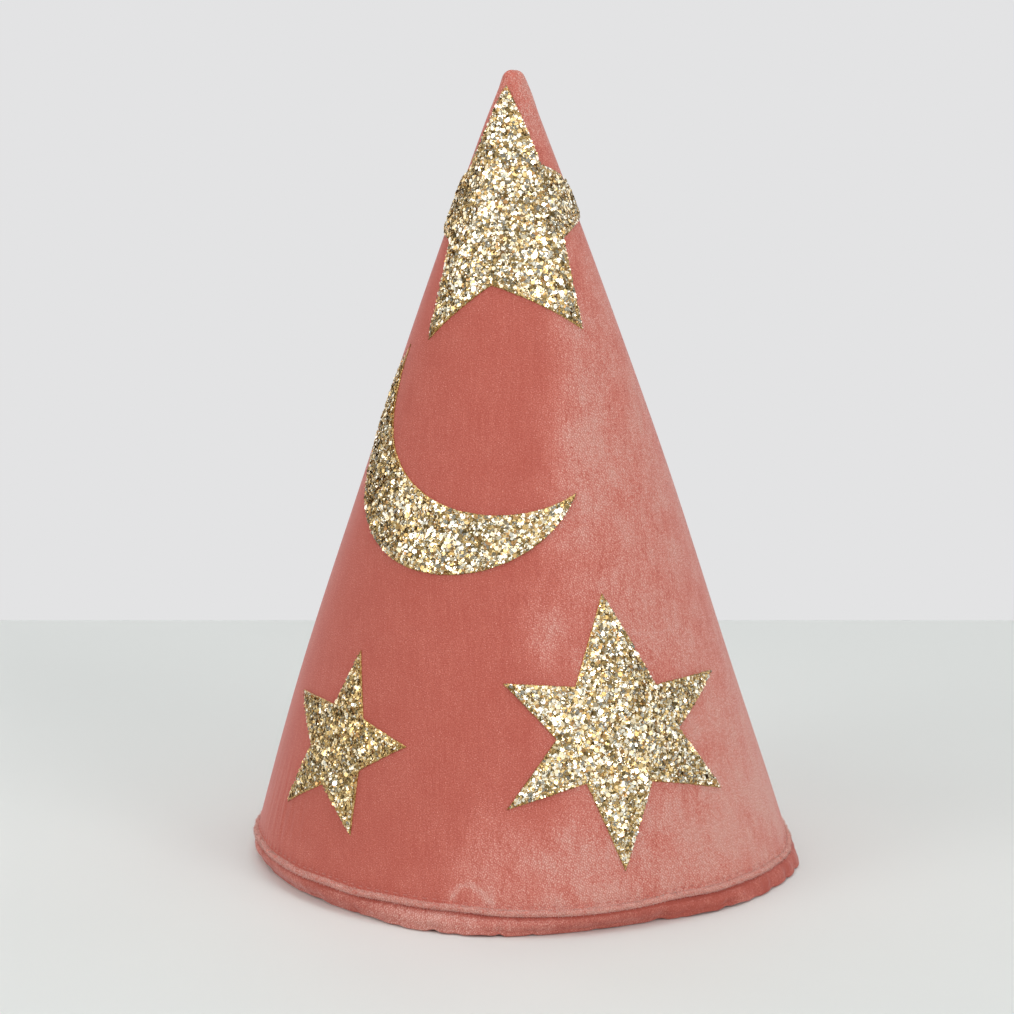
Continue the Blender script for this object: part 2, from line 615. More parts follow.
# inner tip cap
tip_in_pt = on_side(np.array([0.0]), np.array([TIP_Z + TIP_RADIUS]), np.array([D_VELVET]))
tip_in = len(allv)
allv = np.concatenate([allv, tip_in_pt])
for i in range(NU):
    faces.append((in0 + (i + 1) % NU, in0 + i, tip_in))
for j in range(len(inner_rows) - 1):
    a, b = in0 + j * NU, in0 + (j + 1) * NU
    for i in range(NU):
        k = (i + 1) % NU
        faces.append((a + i, a + k, b + k, b + i))
# bottom: from the last inner row to the first row of the roll
a, b = in0 + (len(inner_rows) - 1) * NU, 0
for i in range(NU):
    k = (i + 1) % NU
    faces.append((a + i, a + k, b + k, b + i))
shell = mesh_object("velvet_shell_cloth", allv, faces, True, [velvet])
fl_all = np.concatenate([np.concatenate(flat[:n_out]), [[0, 0, 0]], np.concatenate(flat[n_out:]), [[0, 0, 0]]])
nap_all = np.concatenate([np.concatenate(nap[:n_out]), [0.3], np.concatenate(nap[n_out:]), [0.2]])
point_attribute(shell, "flat", fl_all, "FLOAT_VECTOR")
point_attribute(shell, "nap", nap_all)


# ----------------------------------------------------------------------------
# Closed cone layers under the velvet
def layer(name, d_out, d_in, z_low, mat, nu=192, nz=46, ripple=0.0, seam=0.0):
    ph = -math.pi + (np.arange(nu) + 0.5) * 2 * math.pi / nu
    z_top = 262.5 if d_out < TIP_RADIUS else 259.0

    def apex(d):
        return OZ + math.sqrt((SR - d) ** 2 - OX ** 2)

    def row(z, d):
        r = np.full(nu, float(r_at(z, d)))
        zz = np.full(nu, float(z))
        if ripple:
            r = r + ripple * (np.sin(7 * ph + z / 26.0) + 0.7 * np.sin(11 * ph - z / 15.0 + 1.2)) * min(1.0, r[0] / 60)
        if seam:
            s = (np.pi - np.abs(ph)) * r
            r = r - seam * np.exp(-((s - 2.0) / 3.0) ** 2)
        return place(ph, r, zz)

    z_apex_out, z_apex_in = apex(max(d_out, 0.0)), apex(d_in)
    z_top_out = min(z_top, z_apex_out - 2.0)
    z_top_in = min(z_top_out - 1.0, z_apex_in - 2.0)
    out_z = list(np.linspace(z_low, z_top_out, nz))
    in_z = list(np.linspace(z_top_in, z_low, nz))
    tip_out_z = min(z_apex_out - 0.2, z_top_out + 0.5 * float(r_at(z_top_out, d_out)))
    vs = [row(z, d_out) for z in out_z] + [place([0.0], [0.0], [tip_out_z])]
    n1 = len(out_z) * nu
    vs += [row(z, d_in) for z in in_z] + [place([0.0], [0.0], [z_top_in + 0.3])]
    fs = ring_faces(len(out_z), nu)
    last = (len(out_z) - 1) * nu
    for i in range(nu):
        fs.append((last + i, last + (i + 1) % nu, n1))
    b = n1 + 1
    tip = b + len(in_z) * nu
    for i in range(nu):
        fs.append((b + (i + 1) % nu, b + i, tip))
    for j in range(len(in_z) - 1):
        for i in range(nu):
            k = (i + 1) % nu
            fs.append((b + j * nu + i, b + j * nu + k, b + (j + 1) * nu + k, b + (j + 1) * nu + i))
    e = b + (len(in_z) - 1) * nu
    for i in range(nu):
        k = (i + 1) % nu
        fs.append((e + i, e + k, k, i))
    ob = mesh_object(name, np.concatenate(vs), fs, True, [mat])
    fl = []
    for z in out_z:
        fx, fy = flat_of(ph, np.full(nu, z))
        fl.append(np.stack([fx, fy, np.zeros(nu)], -1) * 1e-3)
    fl.append(np.zeros((1, 3)))
    for z in in_z:
        fx, fy = flat_of(ph, np.full(nu, min(z, Z_POINT - 1)))
        fl.append(np.stack([fx, fy, np.zeros(nu)], -1) * 1e-3)
    fl.append(np.zeros((1, 3)))
    point_attribute(ob, "flat", np.concatenate(fl), "FLOAT_VECTOR")
    return ob


wadding = layer("wadding_layer", 1.25, 3.95, 6.3, wadding_mat, 160, 40)
stiffener = layer("stiffener_layer", 4.05, 5.15, 3.6, stiff_mat, 160, 40)
lining = layer("lining_cloth", 5.22, 5.80, 3.0, lining_mat, 288, 70, 0.0, 0.0)


# ----------------------------------------------------------------------------
# Hem binding: a velvet band folded round the bottom edge
NB = 1080
phb = -math.pi + (np.arange(NB) + 0.5) * 2 * math.pi / NB
fr = foot_r(phb)
dr, dz = rim_shift(phb)
top_outer = r_at(6.0) + dr                       # where it leaves the rolled edge
belly = loop_noise(phb, 9, 11, 0.45) + loop_noise(phb, 24, 12, 0.22)
belly = belly + 0.9 * np.exp(-((np.degrees(phb) + 17) / 9.0) ** 2)
fine_w = loop_noise(phb, 70, 13, 0.10) + loop_noise(phb, 130, 14, 0.05)
rc = np.random.default_rng(31)
gather = np.zeros(NB)
FRONT_FOLDS = ((-50, 0.35), (-38, 0.4), (-26, 0.45), (-18.0, 0.85), (-13.2, 0.7), (-4.3, 1.0), (2.3, 0.5), (16, 0.3), (31, 0.95),
               (36, 0.5), (47, 0.8), (56, 0.55), (63, 0.7), (70, 0.7), (76, 0.95))
for c, a_ in FRONT_FOLDS:
    c, w_ = math.radians(c), math.radians(rc.uniform(0.9, 1.8))
    dphi = (phb - c + math.pi) % (2 * math.pi) - math.pi
    gather += a_ * (np.exp(-(dphi / w_) ** 2) - 0.4 * np.exp(-((dphi - 2.2 * w_) / (1.7 * w_)) ** 2))
for k in range(24):
    c, w_, a_ = rc.uniform(1.75, 2 * math.pi - 1.2), math.radians(rc.uniform(0.8, 2.2)), rc.uniform(0.15, 0.8)
    dphi = (phb - c + math.pi) % (2 * math.pi) - math.pi
    gather += a_ * (np.exp(-(dphi / w_) ** 2) - 0.35 * np.exp(-((dphi - 2.0 * w_) / (1.6 * w_)) ** 2))
gather = np.clip(gather, -0.5, 1.1)
lift = np.maximum(0.0, loop_noise(phb, 11, 15, 0.42) + loop_noise(phb, 27, 16, 0.28))
touch = np.clip(lift + 0.75 * np.maximum(gather, 0.0), 0.0, 1.25)
bottom_in = r_at(0.0, D_BINDING) + dr
tuck = np.maximum(0.0, bottom_in - (fr - 3.6))
bottom_in = bottom_in - tuck
prof = []                                         # list of (r, z) rings, outside top to inside top


def ring_pt(r, z):
    prof.append((np.asarray(r, float) + np.zeros(NB), np.asarray(z, float) + np.zeros(NB)))


ring_pt(r_at(6.4, 3.9) + dr, 6.6 + dz)
ring_pt(top_outer - 1.7, 7.0 + dz)
ring_pt(top_outer - 1.2, 6.8 + dz)
ring_pt(top_outer - 0.7, 6.5 + dz)
for k in range(1, 12):
    t = k / 12.0
    z = (6.3 + dz) * (1 - t) + (touch + 0.9) * t
    line = top_outer * (1 - t) + fr * t
    bulge = -0.85 * (1 - t) ** 5 + (0.75 + belly) * math.sin(math.pi * min(1.0, t * 1.12)) + fine_w * (0.4 + math.sin(math.pi * t))
    bulge = bulge - gather * 0.75 * t ** 0.7
    ring_pt(line + bulge, z)
for k in range(0, 7):                             # rounded lower edge
    a = math.radians(-8 - k * 82 / 6)
    q = 1.15
    ring_pt(fr - q * 0.8 + q * math.cos(a) + 0.35 * belly * (1 - k / 6) - 0.75 * gather * (1 - 0.6 * k / 6), touch + q + q * math.sin(a))
under = np.linspace(0.2, 0.8, 4)
for t in under:
    ring_pt((fr - 1.2) * (1 - t) + (bottom_in + 1.2) * t, touch * (1 - t) + 0.12 * math.sin(math.pi * t))
for k in range(0, 5):
    a = math.radians(-90 - k * 80 / 4)
    ring_pt(bottom_in + 1.2 + 1.2 * math.cos(a), 1.2 + 1.2 * math.sin(a))
leg = loop_noise(phb, 8, 17, 0.22)
ruck = loop_noise(phb, 90, 18, 0.07)
for z in np.linspace(2.4, 23.2, 16):
    ring_pt(r_at(z, D_BINDING) + dr * np.exp(-max(z - 6.0, 0) / 30.0) - tuck * math.exp(-z / 7.0) - leg * math.sin(math.pi * z / 24) - ruck * (z / 24), z)
zt = 24.0 + loop_noise(phb, 10, 19, 0.30)
ring_pt(r_at(23.7, D_BINDING) + dr * np.exp(-17.7 / 30.0) + 0.08, zt - 0.1)
ring_pt(r_at(24.0, D_LINING + 0.45) + dr * np.exp(-18.0 / 30.0), zt + 0.22)
ring_pt(r_at(24.0, D_LINING) + dr * np.exp(-18.0 / 30.0), zt - 0.1)
# back face, against lining, wall and wadding
for z in (18.0, 10.0, 4.0):
    ring_pt(r_at(z, D_LINING) + dr * np.exp(-max(z - 6.0, 0) / 30.0) - tuck * math.exp(-z / 7.0), z)
ring_pt(bottom_in + 1.1, 2.2 + 0 * phb)
ring_pt(np.maximum(bottom_in + 1.7, np.minimum(r_at(1.5, 4.05) + dr, fr - 1.5 - 0.5 * gather)), 2.3 + 0 * phb)
ring_pt(np.minimum(r_at(4.0, 4.0) + dr, 0.5 * (top_outer + fr) - 1.0 - 0.5 * gather), 4.0 + 0 * phb)
# place(): x and y only need the lean and the soft swell here, the rim shift is in r already
BV = []
for r, z in prof:
    lean = LEAN * z / 268.0
    sw = soft(phb, z) * np.clip(z / 14, 0, 1)
    rr = r + sw
    BV.append(np.stack([(rr * np.sin(phb) + lean) * 1e-3, -rr * np.cos(phb) * 1e-3, np.maximum(z, 0.0) * 1e-3], -1))
nr_ = len(BV)
bf = []
for j in range(nr_):
    a, b = j * NB, ((j + 1) % nr_) * NB
    for i in range(NB):
        k = (i + 1) % NB
        bf.append((a + k, a + i, b + i, b + k))
binding = mesh_object("hem_binding_cloth", np.concatenate(BV), bf, True, [velvet_hem])
run = 0.0
bl, bn = [], []
for j, (r, z) in enumerate(prof):
    if j:
        run += float(np.mean(np.hypot(r - prof[j - 1][0], z - prof[j - 1][1])))
    bl.append(np.stack([phb * 92.0, np.full(NB, run), np.full(NB, 7.0)], -1) * 1e-3)
    nb = np.array([0.10 + 0.30 * fractal((math.cos(a) * 9, math.sin(a) * 9, run * 0.12), 3) for a in phb])
    # the pile is rubbed lighter where the band bellies out
    nb += 0.42 * np.exp(-((np.degrees(phb) + 20) / 12.0) ** 2) + 0.10 * np.clip(belly, 0, 1)
    nb += 0.10 - 0.40 * (j < 5) - 0.26 * np.clip((np.degrees(phb) - 8) / 30.0, 0, 1) * (np.degrees(phb) < 120)
    bn.append(nb)
point_attribute(binding, "flat", np.concatenate(bl), "FLOAT_VECTOR")
point_attribute(binding, "nap", np.concatenate(bn))

# ----------------------------------------------------------------------------
# Motifs
TOP_STAR = dict(at=(-12.99, 222.35), pts=[
    (-1.2, 44.2), (12.4, 18.9), (42.2, 16.8), (22.1, -4.6), (31.3, -33.8),
    (-1.3, -23.3), (-24.6, -40.4), (-19.9, -7.4), (-44.0, 11.2), (-14.3, 17.2)])
SMALL_STAR = dict(at=(-50.39, 52.2), pts=[
    (1.3, 32.0), (9.8, 10.4), (29.4, 5.9), (12.9, -6.6), (15.5, -28.1),
    (-2.7, -14.8), (-23.4, -25.0), (-14.1, -3.3), (-31.3, 13.2), (-5.4, 12.1)])
SIX_STAR = dict(at=(25.57, 60.97), pts=[
    (1.0, 45.4), (15.9, 14.2), (46.5, 17.5), (23.1, -0.7), (39.3, -21.9),
    (9.1, -16.9), (-5.4, -44.3), (-14.3, -14.5), (-41.0, -19.2), (-21.7, 0.8),
    (-35.9, 20.9), (-13.0, 16.5)])
MOON_AT = (-30.0, 125.0)
MOON_OUTER = ((3.08, 27.75), 43.50)
MOON_INNER = ((14.44, 49.01), 43.63)


def densify(pts, step=1.0):
    out = []
    for i, p in enumerate(pts):
        q = pts[(i + 1) % len(pts)]
        n = max(1, int(round(math.hypot(q[0] - p[0], q[1] - p[1]) / step)))
        out += [(p[0] + (q[0] - p[0]) * k / n, p[1] + (q[1] - p[1]) * k / n) for k in range(n)]
    return out


def moon_points(step=1.0):
    (ax, ay), ar = MOON_OUTER
    (bx, by), br = MOON_INNER
    d = math.hypot(bx - ax, by - ay)
    a = (ar * ar - br * br + d * d) / (2 * d)
    hh = math.sqrt(ar * ar - a * a)
    ux, uy = (bx - ax) / d, (by - ay) / d
    mx, my = ax + a * ux, ay + a * uy
    p, q = sorted([(mx - hh * uy, my + hh * ux), (mx + hh * uy, my - hh * ux)])

    def arc(cx, cy, s, e):
        r = math.hypot(s[0] - cx, s[1] - cy)
        a0, a1 = math.atan2(s[1] - cy, s[0] - cx), math.atan2(e[1] - cy, e[0] - cx)
        while a1 < a0:
            a1 += 2 * math.pi
        n = int((a1 - a0) * r / step)
        return [(cx + r * math.cos(a0 + (a1 - a0) * k / n), cy + r * math.sin(a0 + (a1 - a0) * k / n)) for k in range(n + 1)]

    outer, inner_ = arc(ax, ay, p, q), arc(bx, by, p, q)
    tx, ty = 2 * p[0] - outer[2][0] - inner_[2][0], 2 * p[1] - outer[2][1] - inner_[2][1]
    tl = math.hypot(tx, ty)
    # the upper horn runs on to a long fine point
    tip = (p[0] + tx / tl * 2.6, p[1] + ty / tl * 2.6)
    return [tip] + outer[2:] + inner_[::-1][1:-2]


def signed_area(pts):
    p = np.array(pts)
    q = np.roll(p, -1, 0)
    return 0.5 * float(np.sum(p[:, 0] * q[:, 1] - q[:, 0] * p[:, 1]))


def inside_distance(P, outline):
    """Signed distance to a closed outline, positive inside."""
    P = np.atleast_2d(P)
    A = np.array(outline)
    B = np.roll(A, -1, 0)
    d = np.full(len(P), 1e9)
    ins = np.zeros(len(P), bool)
    for a, b in zip(A, B):
        ab = b - a
        t = np.clip(((P - a) @ ab) / max(ab @ ab, 1e-12), 0, 1)
        d = np.minimum(d, np.hypot(*(P - a - t[:, None] * ab).T))
        cr = ((a[1] > P[:, 1]) != (b[1] > P[:, 1]))
        xx = a[0] + (P[:, 1] - a[1]) / np.where(abs(b[1] - a[1]) < 1e-12, 1e-12, b[1] - a[1]) * ab[0]
        ins ^= cr & (P[:, 0] < xx)
    return np.where(ins, d, -d)


def patch(name, at, outline, mat, seed):
    """Closed cloth patch: top and bottom follow the hat, with a cut edge."""
    r = np.random.default_rng(seed)
    pts = densify(outline, 0.9)
    if signed_area(pts) < 0:
        pts = pts[::-1]
    pts = [(x + r.normal(0, 0.07), y + r.normal(0, 0.07)) for x, y in pts]
    P = np.array(pts)
    lo, hi = P.min(0), P.max(0)
    g = []
    step = 1.7
    for j, y in enumerate(np.arange(lo[1], hi[1], step * 0.866)):
        for x in np.arange(lo[0] + (j % 2) * step / 2, hi[0], step):
            g.append((x, y))
    g = np.array(g)
    g = g[inside_distance(g, pts) > 0.9]
    n = len(pts)
    vin = [Vector(p) for p in pts] + [Vector(p) for p in g]
    edges = [(i, (i + 1) % n) for i in range(n)]
    ov, _, of, *_rest = delaunay_2d_cdt(vin, edges, [], 1, 1e-7)
    xy = np.array([(v.x, v.y) for v in ov])
    tris = [f if ((ov[f[1]] - ov[f[0]]).cross(ov[f[2]] - ov[f[0]]) > 0) else f[::-1] for f in of]
    dist = np.abs(inside_distance(xy, pts))
    edge_round = np.clip(dist / 0.8, 0, 1)
    up = 0.30 + 0.32 * np.sqrt(edge_round)
    bumpy = np.array([0.06 * noise.noise(Vector((p[0] * 0.9, p[1] * 0.9, seed))) for p in xy])
    topv = on_motif(at, xy, -(up + bumpy))
    botv = on_motif(at, xy, np.full(len(xy), -0.02))
    m = len(xy)
    fs = [tuple(f) for f in tris] + [tuple(m + i for i in f[::-1]) for f in tris]
    count = {}
    for f in tris:
        for a, b in ((f[0], f[1]), (f[1], f[2]), (f[2], f[0])):
            count[(a, b)] = 1
    for (a, b) in list(count):
        if (b, a) not in count:
            fs.append((b, a, m + a, m + b))
    ob = mesh_object(name, np.concatenate([topv, botv]), fs, True, [mat])
    ob.data.polygons.foreach_set("use_smooth", [len(p.vertices) == 3 for p in ob.data.polygons])
    area = abs(signed_area(outline)) * 1e-6
    return ob, area


def flakes(name, at, outline, seed, size=(0.54, 0.76), spacing=0.96, deep_from=(38, 40, 0.8)):
    """Cut foil flakes laid over the cloth at all angles, each a closed thin plate."""
    r = np.random.default_rng(seed)
    P = np.array(outline)
    lo, hi = P.min(0) - 1, P.max(0) + 1

    def scatter(step, jit, inset):
        g = []
        for j, y in enumerate(np.arange(lo[1], hi[1], step * 0.866)):
            xs = np.arange(lo[0] + (j % 2) * step / 2, hi[0], step)
            g.append(np.stack([xs, np.full_like(xs, y)], -1))
        g = np.concatenate(g)
        g = g + r.uniform(-jit, jit, g.shape) * step
        return g[inside_distance(g, outline) > inset]

    a = scatter(spacing, 0.42, 0.26)
    b = scatter(spacing * 0.86, 0.5, 0.12)
    c = scatter(spacing * 2.3, 0.5, 0.7)
    pos = np.concatenate([a, b, c])
    rad = np.concatenate([r.uniform(size[0], size[1], len(a)), r.uniform(0.20, 0.36, len(b)), r.uniform(0.70, 0.92, len(c))])
    hgt = np.concatenate([r.uniform(0.66, 0.98, len(a)), r.uniform(0.70, 1.12, len(b)), r.uniform(0.86, 1.06, len(c))])
    tilt = np.concatenate([np.abs(r.normal(0, 0.27, len(a))), np.abs(r.normal(0, 0.46, len(b))), np.abs(r.normal(0, 0.20, len(c)))])
    tilt = np.clip(tilt, 0, 0.90)
    rad = np.minimum(rad, np.maximum(inside_distance(pos, outline) - 0.02, 0.15))
    n = len(pos)
    e = 0.05
    C = on_motif(at, pos, -hgt) * 1e3
    U = (on_motif(at, pos + [e, 0], -hgt) * 1e3 - C)
    U /= np.linalg.norm(U, axis=1)[:, None]
    W = (on_motif(at, pos + [0, e], -hgt) * 1e3 - C)
    Nn = np.cross(U, W)
    Nn /= np.linalg.norm(Nn, axis=1)[:, None]
    # neighbouring flakes lean together in small clusters
    W = np.cross(Nn, U)
    fx = np.array([noise.noise(Vector((p[0] * 0.55, p[1] * 0.55, seed * 0.7))) for p in pos])
    fy = np.array([noise.noise(Vector((p[0] * 0.55, p[1] * 0.55, seed * 0.7 + 40.0))) for p in pos])
    Nn = Nn + 0.42 * (U * fx[:, None] + W * fy[:, None])
    Nn /= np.linalg.norm(Nn, axis=1)[:, None]
    U = U - Nn * np.sum(U * Nn, axis=1)[:, None]
    U /= np.linalg.norm(U, axis=1)[:, None]
    W = np.cross(Nn, U)
    # tilt about a random direction
    ta = r.uniform(0, 2 * math.pi, n)
    ax = U * np.cos(ta)[:, None] + W * np.sin(ta)[:, None]
    bx = np.cross(Nn, ax)
    ct, st = np.cos(tilt)[:, None], np.sin(tilt)[:, None]
    n2 = Nn * ct + bx * st
    b2 = bx * ct - Nn * st
    spin = r.uniform(0, math.pi / 3, n)
    V = np.zeros((n, 7, 3))
    for k in range(6):
        an = spin + k * math.pi / 3
        rr = rad * r.uniform(0.92, 1.06, n)
        V[:, k] = C + (ax * np.cos(an)[:, None] + b2 * np.sin(an)[:, None]) * rr[:, None]
    V[:, 6] = C - n2 * 0.09
    F, MI = [], []
    mats = r.choice(len(FLAKES), n, p=flake_share)
    deeper = r.choice(len(FLAKES), n, p=(0.18, 0.10, 0.30, 0.25, 0.07, 0.10))
    side_deg = np.degrees(motif_to_hat(at, pos)[0])
    mats = np.where(r.random(n) < np.clip((-side_deg - deep_from[0]) / deep_from[1], 0, deep_from[2]), deeper, mats)
    for i in range(n):
        o = i * 7
        F.append((o, o + 1, o + 2, o + 3, o + 4, o + 5))
        for k in range(6):
            F.append((o + (k + 1) % 6, o + k, o + 6))
        MI += [int(mats[i])] * 7
    ob = mesh_object(name, V.reshape(-1, 3) * 1e-3, F, False, flake_mats)
    ob.data.polygons.foreach_set("material_index", MI)
    return ob


def stitch_mesh(name, ends, mat, radius=0.22, sink=0.25, sides=6, rings=6):
    """Small bowed thread stitches. ends gives functions of t in 0..1 to a point and its outward normal."""
    V, F = [], []
    for fn in ends:
        pts, nrm = [], []
        for k in range(rings):
            t = k / (rings - 1)
            p, q = fn(t)
            pts.append(p - q * sink * (2 * t - 1) ** 2)
            nrm.append(q)
        pts, nrm = np.array(pts), np.array(nrm)
        tan = np.gradient(pts, axis=0)
        tan /= np.linalg.norm(tan, axis=1)[:, None]
        base_i = len(V)
        for k in range(rings):
            side_v = np.cross(tan[k], nrm[k])
            side_v /= np.linalg.norm(side_v)
            up_v = np.cross(side_v, tan[k])
            s = radius * (1.0 if 0 < k < rings - 1 else 0.55)
            for j in range(sides):
                a = 2 * math.pi * j / sides
                V.append(pts[k] + side_v * math.cos(a) * s + up_v * math.sin(a) * s)
        for k in range(rings - 1):
            for j in range(sides):
                a, b = base_i + k * sides + j, base_i + k * sides + (j + 1) % sides
                F.append((a, b, b + sides, a + sides))
        F.append(tuple(base_i + j for j in range(sides))[::-1])
        F.append(tuple(base_i + (rings - 1) * sides + j for j in range(sides)))
    return mesh_object(name, np.array(V) * 1e-3, F, True, [mat])


def motif_stitches(name, at, outline, closed_corners, inset=1.5, length=2.2, pitch=3.2, seed=1):
    """Running stitches just inside the cut edge."""
    r = np.random.default_rng(seed)
    pts = list(outline)
    if signed_area(pts) < 0:
        pts = pts[::-1]
    P = np.array(densify(pts, 0.5))
    nxt, prv = np.roll(P, -2, 0), np.roll(P, 2, 0)
    t = nxt - prv
    t /= np.linalg.norm(t, axis=1)[:, None]
    nin = np.stack([-t[:, 1], t[:, 0]], -1)
    Q = P + nin * inset
    ok = inside_distance(Q, outline) > inset * 0.93
    Q, T = Q[ok], t[ok]
    runs, cur = [], [0]
    for i in range(1, len(Q)):
        if np.hypot(*(Q[i] - Q[i - 1])) < 1.2:
            cur.append(i)
        else:
            runs.append(cur)
            cur = [i]
    runs.append(cur)
    ends = []
    for run_ in runs:
        if len(run_) < 5:
            continue
        L = Q[run_]
        s = np.r_[0, np.cumsum(np.hypot(*np.diff(L, axis=0).T))]
        n = max(1, int(s[-1] / pitch))
        for k in range(n):
            c = (k + 0.5) / n * s[-1] + r.normal(0, 0.08)
            hl = length / 2 * r.uniform(0.9, 1.08)
            if c - hl < 0 or c + hl > s[-1]:
                continue
            off = r.normal(0, 0.06)

            def fn(tt, c=c, hl=hl, L=L, s=s, off=off):
                u = c + (2 * tt - 1) * hl
                q = np.array([np.interp(u, s, L[:, 0]) + off, np.interp(u, s, L[:, 1]) + off])
                p = on_motif(at, q[None], np.array([-1.02]))[0] * 1e3
                p2 = on_motif(at, q[None], np.array([-2.02]))[0] * 1e3
                nn = p2 - p
                return p, nn / np.linalg.norm(nn)
            ends.append(fn)
    return stitch_mesh(name, ends, gold_thread, 0.20, 0.5)


moon_outline = moon_points()
motifs = {}
for node, at, outline, seed in (("top_star", TOP_STAR["at"], TOP_STAR["pts"], 101),
                                ("crescent_moon", MOON_AT, moon_outline, 102),
                                ("small_star", SMALL_STAR["at"], SMALL_STAR["pts"], 103),
                                ("six_point_star", SIX_STAR["at"], SIX_STAR["pts"], 104)):
    cloth, area = patch(node + "_cloth", at, outline, glitter_base, seed)
    foil = flakes(node + "_flakes", at, outline, seed + 50, deep_from=(5, 22, 0.92) if node == "small_star" else (38, 40, 0.8))
    sew = motif_stitches(node + "_stitches", at, outline, True, seed=seed + 90)
    motifs[node] = (cloth, foil, sew, area, outline)

# ----------------------------------------------------------------------------
# Hem stitches
ends = []
rs = np.random.default_rng(77)
for k in range(stitch_count):
    a0 = -math.pi + (2 * math.pi) * (k + 0.5) / stitch_count
    zo = rs.normal(0, 0.06)
    zr = float(np.interp(a0, phi_ring, roll_z)) * 0.72
    half = 1.25 / 92.0 * rs.uniform(0.9, 1.08)

    def fn(t, a0=a0, zo=zo, half=half, zr=zr):
        a = a0 + (2 * t - 1) * half
        p = on_side([a], [HEM_STITCH_Z + zo + zr], [0.34])[0] * 1e3
        p2 = on_side([a], [HEM_STITCH_Z + zo + zr], [-0.66])[0] * 1e3
        nn = p2 - p
        return p, nn / np.linalg.norm(nn)
    ends.append(fn)
hem_sew = stitch_mesh("hem_topstitching_thread", ends, coral_thread, 0.18, 0.35)

ends = []
for k in range(72):
    a0 = -math.pi + (2 * math.pi) * (k + 0.5) / 72
    half = 1.1 / 80.0 * rs.uniform(0.85, 1.1)
    slope = rs.uniform(0.7, 1.1)

    def fn(t, a0=a0, half=half, slope=slope):
        a = a0 + (2 * t - 1) * half
        z = 23.2 + slope * (2 * t - 1)
        d = D_BINDING + 0.15 - 0.5 * max(0.0, 2 * t - 1)
        w = math.exp(-(z - 6.0) / 30.0)
        p = place([a], [float(r_at(z, d))], [z])[0] * 1e3
        nn = np.array([-math.sin(a), math.cos(a), -0.3])
        return p, nn / np.linalg.norm(nn)
    ends.append(fn)
slip_sew = stitch_mesh("binding_slipstitching_thread", ends, coral_thread, 0.20, 0.3)

# ----------------------------------------------------------------------------
# Pile standing up along the rolled edge: short closed tufts
rp = np.random.default_rng(88)
n_tuft = 15000
ta = rp.uniform(-math.pi, math.pi, n_tuft)
tw = np.radians(rp.uniform(-62, 78, n_tuft))
tz = np.interp(ta, phi_ring, roll_z)
tsz = np.interp(ta, phi_ring, wob_roll + 1.2 * (roll_size - 1)) + 0.22 * np.sin(ta * stitch_count)
t_d = 0.35 - 1.20 * np.cos(tw) - np.maximum(0, np.cos(tw)) * 0.87 * tsz
t_z = 7.75 + 1.02 * np.sin(tw) + tz
root_p = on_side(ta, t_z, t_d + 0.12) * 1e3
out_p = on_side(ta, t_z + 0.9 * np.sin(tw), t_d - 1.0 * np.cos(tw)) * 1e3 - on_side(ta, t_z, t_d) * 1e3
out_p /= np.linalg.norm(out_p, axis=1)[:, None]
side_p = np.stack([np.cos(ta), np.sin(ta), np.zeros(n_tuft)], -1)
lay = out_p + side_p * rp.normal(0, 0.45, n_tuft)[:, None] + np.array([0, 0, 1.0]) * rp.normal(0.1, 0.35, n_tuft)[:, None]
lay /= np.linalg.norm(lay, axis=1)[:, None]
up_p = np.cross(lay, side_p)
up_p /= np.linalg.norm(up_p, axis=1)[:, None]
side_q = np.cross(up_p, lay)
tl = rp.uniform(0.35, 1.0, n_tuft)[:, None]
tr = rp.uniform(0.05, 0.10, n_tuft)[:, None]
TV = np.stack([root_p + side_q * tr, root_p + (-0.5 * side_q + 0.866 * up_p) * tr,
               root_p + (-0.5 * side_q - 0.866 * up_p) * tr, root_p + lay * tl], 1).reshape(-1, 3)
TF = []
for i in range(n_tuft):
    o = 4 * i
    TF += [(o, o + 2, o + 1), (o, o + 1, o + 3), (o + 1, o + 2, o + 3), (o + 2, o, o + 3)]
tufts = mesh_object("hem_roll_pile", TV * 1e-3, TF, True, [velvet_pile])
point_attribute(tufts, "nap", np.repeat(rp.uniform(0.6, 1.5, n_tuft), 4))
point_attribute(tufts, "flat", np.repeat(np.stack([ta * 0.092, tw * 0.002, np.zeros(n_tuft)], -1), 4, axis=0), "FLOAT_VECTOR")

# ----------------------------------------------------------------------------
# What each piece is and stands for
cone_area = math.pi * 93.0 * 284.0 * 1e-6
sector = 2 * math.pi * 92.0 / 284.0


def own(ob, nodes):
    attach(ob, "root")
    if nodes:
        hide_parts(*nodes)


own(shell, ["velvet_shell"])
own(wadding, ["wadding_cone"])
own(stiffener, ["stiffener_cone"])
own(lining, ["lining_cone"])
own(binding, ["hem_binding"])
own(tufts, [])
own(hem_sew, ["hem_topstitching"])
own(slip_sew, ["binding_slipstitching"])
for node, (cloth, foil, sew, area, outline) in motifs.items():
    own(cloth, [node])
    own(foil, [])
    own(sew, [node + "_stitching"])
    P = np.array(outline)

